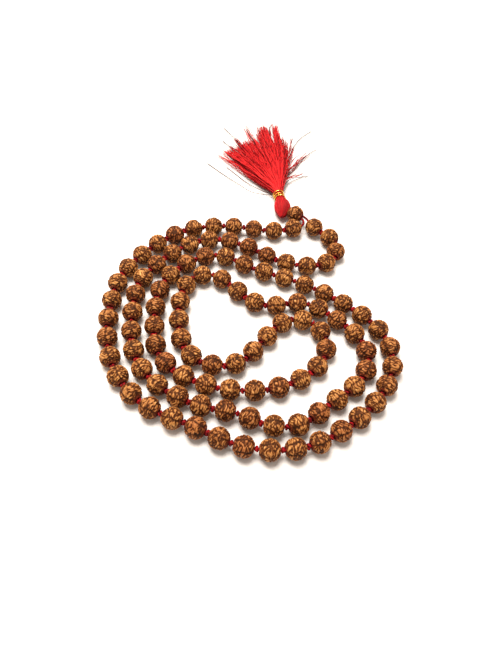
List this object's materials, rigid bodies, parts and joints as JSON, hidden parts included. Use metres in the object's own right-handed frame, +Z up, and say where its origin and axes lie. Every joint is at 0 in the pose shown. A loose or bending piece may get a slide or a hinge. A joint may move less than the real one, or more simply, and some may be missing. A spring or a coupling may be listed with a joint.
{
  "type": "mala prayer beads",
  "caption": "Long loop of round ridged seed beads knotted on red thread, lying coiled, with a guru bead and a red tassel bound with gold thread.",
  "frame": {"origin": "on the table, under the middle of the whole object", "axes": "+Z up from the table, +Y from the coil of beads towards the tassel, +X to the right of that"},
  "size_m": [0.1156, 0.1839, 0.0083],
  "materials": {
    "counting_beads": "satin",
    "guru_bead": "satin",
    "stringing_thread": "matte",
    "tassel_thread": "satin",
    "gold_thread": "satin"
  },
  "bodies": {
    "strung_loop": {"stringing_thread": "stringing_thread", "bead_knots": "stringing_thread", "beads_025_to_039": "counting_beads", "beads_040_to_054": "counting_beads", "beads_055_to_069": "counting_beads", "beads_070_to_084": "counting_beads"},
    "bead_001": {"bead_001": "counting_beads"},
    "bead_002": {"bead_002": "counting_beads"},
    "bead_003": {"bead_003": "counting_beads"},
    "bead_004": {"bead_004": "counting_beads"},
    "bead_005": {"bead_005": "counting_beads"},
    "bead_006": {"bead_006": "counting_beads"},
    "bead_007": {"bead_007": "counting_beads"},
    "bead_008": {"bead_008": "counting_beads"},
    "bead_009": {"bead_009": "counting_beads"},
    "bead_010": {"bead_010": "counting_beads"},
    "bead_011": {"bead_011": "counting_beads"},
    "bead_012": {"bead_012": "counting_beads"},
    "bead_013": {"bead_013": "counting_beads"},
    "bead_014": {"bead_014": "counting_beads"},
    "bead_015": {"bead_015": "counting_beads"},
    "bead_016": {"bead_016": "counting_beads"},
    "bead_017": {"bead_017": "counting_beads"},
    "bead_018": {"bead_018": "counting_beads"},
    "bead_019": {"bead_019": "counting_beads"},
    "bead_020": {"bead_020": "counting_beads"},
    "bead_021": {"bead_021": "counting_beads"},
    "bead_022": {"bead_022": "counting_beads"},
    "bead_023": {"bead_023": "counting_beads"},
    "bead_024": {"bead_024": "counting_beads"},
    "bead_085": {"bead_085": "counting_beads"},
    "bead_086": {"bead_086": "counting_beads"},
    "bead_087": {"bead_087": "counting_beads"},
    "bead_088": {"bead_088": "counting_beads"},
    "bead_089": {"bead_089": "counting_beads"},
    "bead_090": {"bead_090": "counting_beads"},
    "bead_091": {"bead_091": "counting_beads"},
    "bead_092": {"bead_092": "counting_beads"},
    "bead_093": {"bead_093": "counting_beads"},
    "bead_094": {"bead_094": "counting_beads"},
    "bead_095": {"bead_095": "counting_beads"},
    "bead_096": {"bead_096": "counting_beads"},
    "bead_097": {"bead_097": "counting_beads"},
    "bead_098": {"bead_098": "counting_beads"},
    "bead_099": {"bead_099": "counting_beads"},
    "bead_100": {"bead_100": "counting_beads"},
    "bead_101": {"bead_101": "counting_beads"},
    "bead_102": {"bead_102": "counting_beads"},
    "bead_103": {"bead_103": "counting_beads"},
    "bead_104": {"bead_104": "counting_beads"},
    "bead_105": {"bead_105": "counting_beads"},
    "bead_106": {"bead_106": "counting_beads"},
    "bead_107": {"bead_107": "counting_beads"},
    "bead_108": {"bead_108": "counting_beads"},
    "guru_bead": {"guru_bead": "guru_bead"},
    "tassel_head": {"tassel_cord": "tassel_thread", "tassel_head": "tassel_thread", "tassel_binding": "gold_thread"},
    "tassel_skirt": {"tassel_skirt": "tassel_thread"}
  },
  "joints": [
    {"name": "bead_001_spin", "type": "hinge", "parent": "strung_loop", "child": "bead_001", "pos_m": [0.01408, 0.01578, 0.00386], "axis": [-0.902, -0.4317, -0.0029], "continuous": true},
    {"name": "bead_002_spin", "type": "hinge", "parent": "strung_loop", "child": "bead_002", "pos_m": [0.00582, 0.01315, 0.00385], "axis": [-0.985, -0.1725, 0], "continuous": true},
    {"name": "bead_003_spin", "type": "hinge", "parent": "strung_loop", "child": "bead_003", "pos_m": [-0.00287, 0.01293, 0.00385], "axis": [-0.9987, 0.0511, 0], "continuous": true},
    {"name": "bead_004_spin", "type": "hinge", "parent": "strung_loop", "child": "bead_004", "pos_m": [-0.01159, 0.01294, 0.00385], "axis": [-0.999, -0.0448, 0], "continuous": true},
    {"name": "bead_005_spin", "type": "hinge", "parent": "strung_loop", "child": "bead_005", "pos_m": [-0.02023, 0.0118, 0.00385], "axis": [-0.9739, -0.2272, 0], "continuous": true},
    {"name": "bead_006_spin", "type": "hinge", "parent": "strung_loop", "child": "bead_006", "pos_m": [-0.02848, 0.00904, 0.00385], "axis": [-0.9075, -0.42, 0], "continuous": true},
    {"name": "bead_007_spin", "type": "hinge", "parent": "strung_loop", "child": "bead_007", "pos_m": [-0.03579, 0.00435, 0.00385], "axis": [-0.767, -0.6416, 0], "continuous": true},
    {"name": "bead_008_spin", "type": "hinge", "parent": "strung_loop", "child": "bead_008", "pos_m": [-0.04195, -0.0018, 0.00385], "axis": [-0.6411, -0.7674, 0], "continuous": true},
    {"name": "bead_009_spin", "type": "hinge", "parent": "strung_loop", "child": "bead_009", "pos_m": [-0.04709, -0.00885, 0.00385], "axis": [-0.5374, -0.8433, 0], "continuous": true},
    {"name": "bead_010_spin", "type": "hinge", "parent": "strung_loop", "child": "bead_010", "pos_m": [-0.05122, -0.01653, 0.00385], "axis": [-0.4103, -0.9119, 0], "continuous": true},
    {"name": "bead_011_spin", "type": "hinge", "parent": "strung_loop", "child": "bead_011", "pos_m": [-0.05365, -0.02485, 0.00385], "axis": [-0.129, -0.9916, 0], "continuous": true},
    {"name": "bead_012_spin", "type": "hinge", "parent": "strung_loop", "child": "bead_012", "pos_m": [-0.05399, -0.03356, 0.00385], "axis": [0.0279, -0.9996, 0], "continuous": true},
    {"name": "bead_013_spin", "type": "hinge", "parent": "strung_loop", "child": "bead_013", "pos_m": [-0.05334, -0.04227, 0.00385], "axis": [0.1105, -0.9939, 0], "continuous": true},
    {"name": "bead_014_spin", "type": "hinge", "parent": "strung_loop", "child": "bead_014", "pos_m": [-0.05177, -0.05084, 0.00385], "axis": [0.2553, -0.9669, 0], "continuous": true},
    {"name": "bead_015_spin", "type": "hinge", "parent": "strung_loop", "child": "bead_015", "pos_m": [-0.04887, -0.05906, 0.00385], "axis": [0.4235, -0.9059, 0], "continuous": true},
    {"name": "bead_016_spin", "type": "hinge", "parent": "strung_loop", "child": "bead_016", "pos_m": [-0.04436, -0.0665, 0.00385], "axis": [0.5978, -0.8017, 0], "continuous": true},
    {"name": "bead_017_spin", "type": "hinge", "parent": "strung_loop", "child": "bead_017", "pos_m": [-0.03832, -0.07274, 0.00385], "axis": [0.7847, -0.6198, 0], "continuous": true},
    {"name": "bead_018_spin", "type": "hinge", "parent": "strung_loop", "child": "bead_018", "pos_m": [-0.03097, -0.0774, 0.00385], "axis": [0.8977, -0.4406, 0], "continuous": true},
    {"name": "bead_019_spin", "type": "hinge", "parent": "strung_loop", "child": "bead_019", "pos_m": [-0.02279, -0.08039, 0.00385], "axis": [0.9648, -0.2631, 0], "continuous": true},
    {"name": "bead_020_spin", "type": "hinge", "parent": "strung_loop", "child": "bead_020", "pos_m": [-0.01443, -0.08289, 0.00385], "axis": [0.949, -0.3154, 0], "continuous": true},
    {"name": "bead_021_spin", "type": "hinge", "parent": "strung_loop", "child": "bead_021", "pos_m": [-0.00618, -0.08577, 0.00385], "axis": [0.948, -0.3183, 0], "continuous": true},
    {"name": "bead_022_spin", "type": "hinge", "parent": "strung_loop", "child": "bead_022", "pos_m": [0.00231, -0.08768, 0.00385], "axis": [0.9929, -0.1186, 0], "continuous": true},
    {"name": "bead_023_spin", "type": "hinge", "parent": "strung_loop", "child": "bead_023", "pos_m": [0.01101, -0.08799, 0.00385], "axis": [0.998, 0.063, 0], "continuous": true},
    {"name": "bead_024_spin", "type": "hinge", "parent": "strung_loop", "child": "bead_024", "pos_m": [0.0196, -0.08654, 0.00385], "axis": [0.9661, 0.2581, 0], "continuous": true},
    {"name": "bead_085_spin", "type": "hinge", "parent": "strung_loop", "child": "bead_085", "pos_m": [0.00331, -0.07718, 0.00385], "axis": [-0.95, 0.3124, 0], "continuous": true},
    {"name": "bead_086_spin", "type": "hinge", "parent": "strung_loop", "child": "bead_086", "pos_m": [-0.0052, -0.07539, 0.00385], "axis": [-0.996, 0.0889, 0], "continuous": true},
    {"name": "bead_087_spin", "type": "hinge", "parent": "strung_loop", "child": "bead_087", "pos_m": [-0.01387, -0.07449, 0.00385], "axis": [-0.9839, 0.1789, 0], "continuous": true},
    {"name": "bead_088_spin", "type": "hinge", "parent": "strung_loop", "child": "bead_088", "pos_m": [-0.02224, -0.07208, 0.00385], "axis": [-0.9394, 0.3429, 0], "continuous": true},
    {"name": "bead_089_spin", "type": "hinge", "parent": "strung_loop", "child": "bead_089", "pos_m": [-0.03002, -0.0682, 0.00385], "axis": [-0.8334, 0.5527, 0], "continuous": true},
    {"name": "bead_090_spin", "type": "hinge", "parent": "strung_loop", "child": "bead_090", "pos_m": [-0.0366, -0.06253, 0.00385], "axis": [-0.6523, 0.758, 0], "continuous": true},
    {"name": "bead_091_spin", "type": "hinge", "parent": "strung_loop", "child": "bead_091", "pos_m": [-0.04112, -0.05514, 0.00385], "axis": [-0.4011, 0.916, 0], "continuous": true},
    {"name": "bead_092_spin", "type": "hinge", "parent": "strung_loop", "child": "bead_092", "pos_m": [-0.0437, -0.04684, 0.00385], "axis": [-0.1868, 0.9824, 0], "continuous": true},
    {"name": "bead_093_spin", "type": "hinge", "parent": "strung_loop", "child": "bead_093", "pos_m": [-0.045, -0.0382, 0.00385], "axis": [-0.1159, 0.9933, 0], "continuous": true},
    {"name": "bead_094_spin", "type": "hinge", "parent": "strung_loop", "child": "bead_094", "pos_m": [-0.04566, -0.0295, 0.00385], "axis": [-0.0317, 0.9995, 0], "continuous": true},
    {"name": "bead_095_spin", "type": "hinge", "parent": "strung_loop", "child": "bead_095", "pos_m": [-0.0443, -0.02099, 0.00385], "axis": [0.3596, 0.9331, 0], "continuous": true},
    {"name": "bead_096_spin", "type": "hinge", "parent": "strung_loop", "child": "bead_096", "pos_m": [-0.04025, -0.01329, 0.00385], "axis": [0.5448, 0.8386, 0], "continuous": true},
    {"name": "bead_097_spin", "type": "hinge", "parent": "strung_loop", "child": "bead_097", "pos_m": [-0.035, -0.00633, 0.00385], "axis": [0.6521, 0.7582, 0], "continuous": true},
    {"name": "bead_098_spin", "type": "hinge", "parent": "strung_loop", "child": "bead_098", "pos_m": [-0.02874, -0.00028, 0.00385], "axis": [0.7829, 0.6222, 0], "continuous": true},
    {"name": "bead_099_spin", "type": "hinge", "parent": "strung_loop", "child": "bead_099", "pos_m": [-0.02101, 0.00349, 0.00385], "axis": [0.9735, 0.2286, 0], "continuous": true},
    {"name": "bead_100_spin", "type": "hinge", "parent": "strung_loop", "child": "bead_100", "pos_m": [-0.0124, 0.00408, 0.00385], "axis": [0.9921, -0.1258, 0], "continuous": true},
    {"name": "bead_101_spin", "type": "hinge", "parent": "strung_loop", "child": "bead_101", "pos_m": [-0.00406, 0.00167, 0.00385], "axis": [0.929, -0.3702, 0], "continuous": true},
    {"name": "bead_102_spin", "type": "hinge", "parent": "strung_loop", "child": "bead_102", "pos_m": [0.00394, -0.00183, 0.00385], "axis": [0.9088, -0.4173, 0], "continuous": true},
    {"name": "bead_103_spin", "type": "hinge", "parent": "strung_loop", "child": "bead_103", "pos_m": [0.01219, -0.00459, 0.00385], "axis": [0.9782, -0.2077, 0], "continuous": true},
    {"name": "bead_104_spin", "type": "hinge", "parent": "strung_loop", "child": "bead_104", "pos_m": [0.02082, -0.00514, 0.00385], "axis": [0.9924, 0.123, 0], "continuous": true},
    {"name": "bead_105_spin", "type": "hinge", "parent": "strung_loop", "child": "bead_105", "pos_m": [0.02887, -0.00229, 0.00385], "axis": [0.823, 0.568, 0], "continuous": true},
    {"name": "bead_106_spin", "type": "hinge", "parent": "strung_loop", "child": "bead_106", "pos_m": [0.03285, 0.00482, 0.00385], "axis": [0.0779, 0.997, 0], "continuous": true},
    {"name": "bead_107_spin", "type": "hinge", "parent": "strung_loop", "child": "bead_107", "pos_m": [0.03009, 0.01254, 0.00385], "axis": [-0.6929, 0.721, 0], "continuous": true},
    {"name": "bead_108_spin", "type": "hinge", "parent": "strung_loop", "child": "bead_108", "pos_m": [0.02321, 0.01764, 0.00417], "axis": [-0.7749, 0.6229, 0.1071], "continuous": true},
    {"name": "guru_spin", "type": "hinge", "parent": "strung_loop", "child": "guru_bead", "pos_m": [0.0146, 0.024, 0.0046], "axis": [0.9063, -0.4226, 0], "continuous": true},
    {"name": "tassel_lift", "type": "hinge", "parent": "strung_loop", "child": "tassel_head", "pos_m": [0.0146, 0.024, 0.0046], "axis": [0.9063, -0.4226, 0], "range_deg": [0, 110]},
    {"name": "skirt_swing", "type": "hinge", "parent": "tassel_head", "child": "tassel_skirt", "pos_m": [0.00645, 0.03701, 0.00355], "axis": [0, 0, 1], "range_deg": [-20, 20]}
  ]
}
